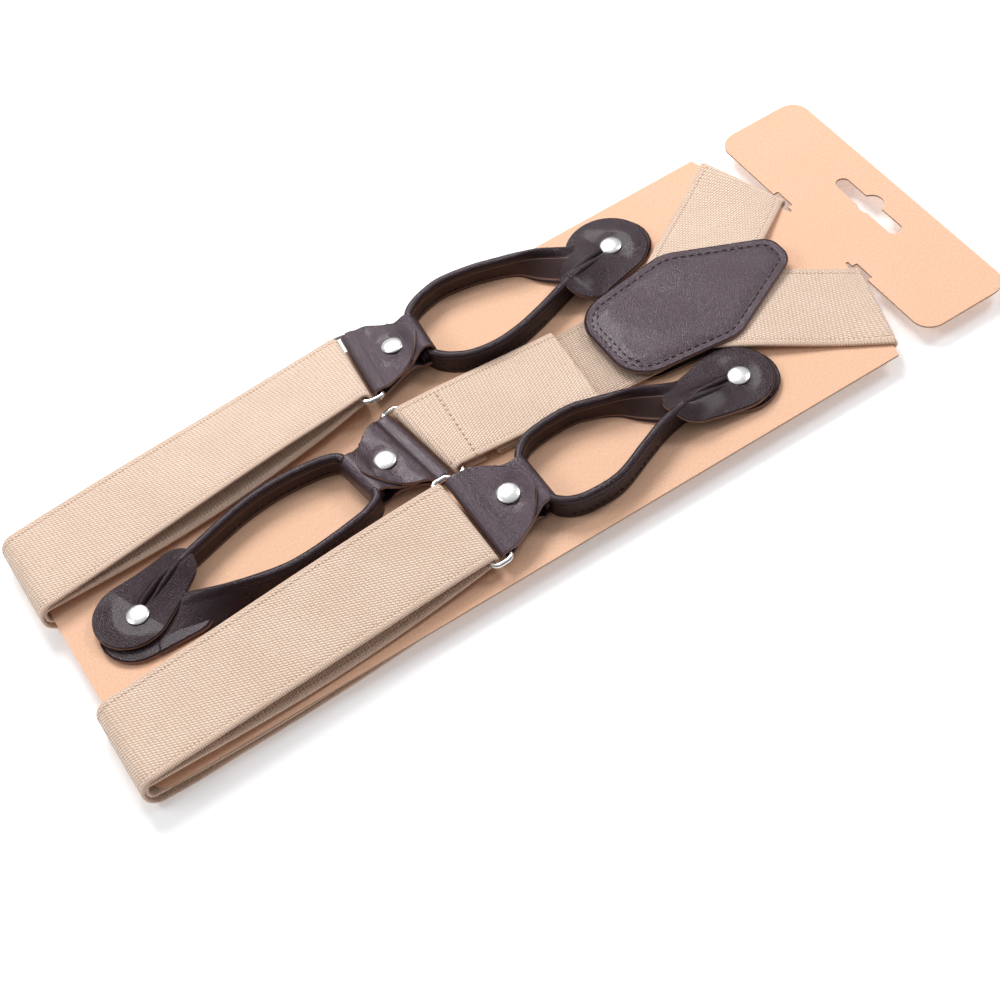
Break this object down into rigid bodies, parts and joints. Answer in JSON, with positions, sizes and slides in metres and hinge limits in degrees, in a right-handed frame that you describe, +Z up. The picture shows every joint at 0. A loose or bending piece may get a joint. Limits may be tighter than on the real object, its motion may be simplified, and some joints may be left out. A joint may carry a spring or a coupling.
{
  "type": "suspenders",
  "caption": "Elastic suspenders with leather button loops, folded flat round a hanging card, with a leather back patch and ring joined tabs.",
  "frame": {"origin": "middle of the bounding box, on the floor the folded set lies on", "axes": "+X along the card towards its hanging header, +Y to the left strap, +Z up, away from the floor"},
  "size_m": [0.3298, 0.1264, 0.0187],
  "materials": {
    "card": "uncoated kraft paperboard, matt, fine fibres",
    "webbing": "woven elastic, fine diagonal twill, matt",
    "leather": "pebbled dark brown leather, soft gloss",
    "patch_thread": "dark sewing thread",
    "strap_thread": "pale sewing thread",
    "wire_steel": "nickel plated wire and stamping",
    "rivet_silver": "bright nickel plate"
  },
  "bodies": {
    "folded_set": {"display_card": "card", "left_strap": "webbing", "right_strap": "webbing", "centre_strap": "webbing", "back_patch": "leather", "patch_backing": "leather", "patch_stitching": "patch_thread", "centre_stitching": "strap_thread"},
    "left_ring": {"left_ring": "wire_steel"},
    "left_tab": {"left_tab": "leather", "left_tab_rivet": "rivet_silver", "left_tab_rivet_back": "rivet_silver"},
    "left_loop": {"left_loop": "leather", "left_loop_stud": "rivet_silver", "left_loop_stud_back": "rivet_silver"},
    "right_ring": {"right_ring": "wire_steel"},
    "right_tab": {"right_tab": "leather", "right_tab_rivet": "rivet_silver", "right_tab_rivet_back": "rivet_silver"},
    "right_loop": {"right_loop": "leather", "right_loop_stud": "rivet_silver", "right_loop_stud_back": "rivet_silver"},
    "centre_ring": {"centre_ring": "wire_steel"},
    "centre_tab": {"centre_tab": "leather", "centre_tab_rivet": "rivet_silver", "centre_tab_rivet_back": "rivet_silver"},
    "centre_loop": {"centre_loop": "leather", "centre_loop_stud": "rivet_silver", "centre_loop_stud_back": "rivet_silver"},
    "left_adjuster": {"left_adjuster_frame": "wire_steel", "left_adjuster_pin": "wire_steel", "left_strap_end": "webbing"},
    "left_lever": {"left_adjuster_lever": "wire_steel"},
    "right_adjuster": {"right_adjuster_frame": "wire_steel", "right_adjuster_pin": "wire_steel", "right_strap_end": "webbing"},
    "right_lever": {"right_adjuster_lever": "wire_steel"}
  },
  "joints": [
    {"name": "left_ring_swing", "type": "hinge", "parent": "folded_set", "child": "left_ring", "pos_m": [-0.03513, 0.04359, 0.0117], "axis": [-0.1207, -0.9829, 0.1392], "range_deg": [0, 60]},
    {"name": "left_tab_swing", "type": "hinge", "parent": "left_ring", "child": "left_tab", "pos_m": [-0.02818, 0.04274, 0.0117], "axis": [-0.1207, -0.9829, 0.1392], "range_deg": [0, 60]},
    {"name": "left_loop_swing", "type": "hinge", "parent": "left_tab", "child": "left_loop", "pos_m": [-0.00783, 0.04021, 0.0115], "axis": [-0.1207, -0.9829, 0.1392], "range_deg": [0, 50]},
    {"name": "right_ring_swing", "type": "hinge", "parent": "folded_set", "child": "right_ring", "pos_m": [-0.03712, -0.03881, 0.0128], "axis": [0.0174, -0.996, -0.0872], "range_deg": [0, 60]},
    {"name": "right_tab_swing", "type": "hinge", "parent": "right_ring", "child": "right_tab", "pos_m": [-0.03013, -0.03869, 0.0128], "axis": [0.0174, -0.996, -0.0872], "range_deg": [0, 60]},
    {"name": "right_loop_swing", "type": "hinge", "parent": "right_tab", "child": "right_loop", "pos_m": [-0.00963, -0.03822, 0.0115], "axis": [0.0174, -0.996, -0.0872], "range_deg": [0, 50]},
    {"name": "centre_ring_swing", "type": "hinge", "parent": "folded_set", "child": "centre_ring", "pos_m": [-0.02593, 0.00219, 0.0092], "axis": [-0.1219, 0.9925, 0], "range_deg": [0, 60]},
    {"name": "centre_tab_swing", "type": "hinge", "parent": "centre_ring", "child": "centre_tab", "pos_m": [-0.03287, 0.00134, 0.0092], "axis": [-0.1219, 0.9925, 0], "range_deg": [0, 60]},
    {"name": "centre_loop_swing", "type": "hinge", "parent": "centre_tab", "child": "centre_loop", "pos_m": [-0.05322, -0.00116, 0.0115], "axis": [-0.1219, 0.9925, 0], "range_deg": [0, 50]},
    {"name": "left_adjuster_slide", "type": "slide", "parent": "folded_set", "child": "left_adjuster", "axis": [1, 0, 0], "range_m": [0, 0.045]},
    {"name": "left_lever_hinge", "type": "hinge", "parent": "left_adjuster", "child": "left_lever", "pos_m": [0.00387, 0.03279, 0.00065], "axis": [0, -1, 0], "range_deg": [0, 75]},
    {"name": "right_adjuster_slide", "type": "slide", "parent": "folded_set", "child": "right_adjuster", "axis": [1, 0, 0], "range_m": [0, 0.045]},
    {"name": "right_lever_hinge", "type": "hinge", "parent": "right_adjuster", "child": "right_lever", "pos_m": [0.00387, -0.03921, 0.00065], "axis": [0, -1, 0], "range_deg": [0, 75]}
  ]
}
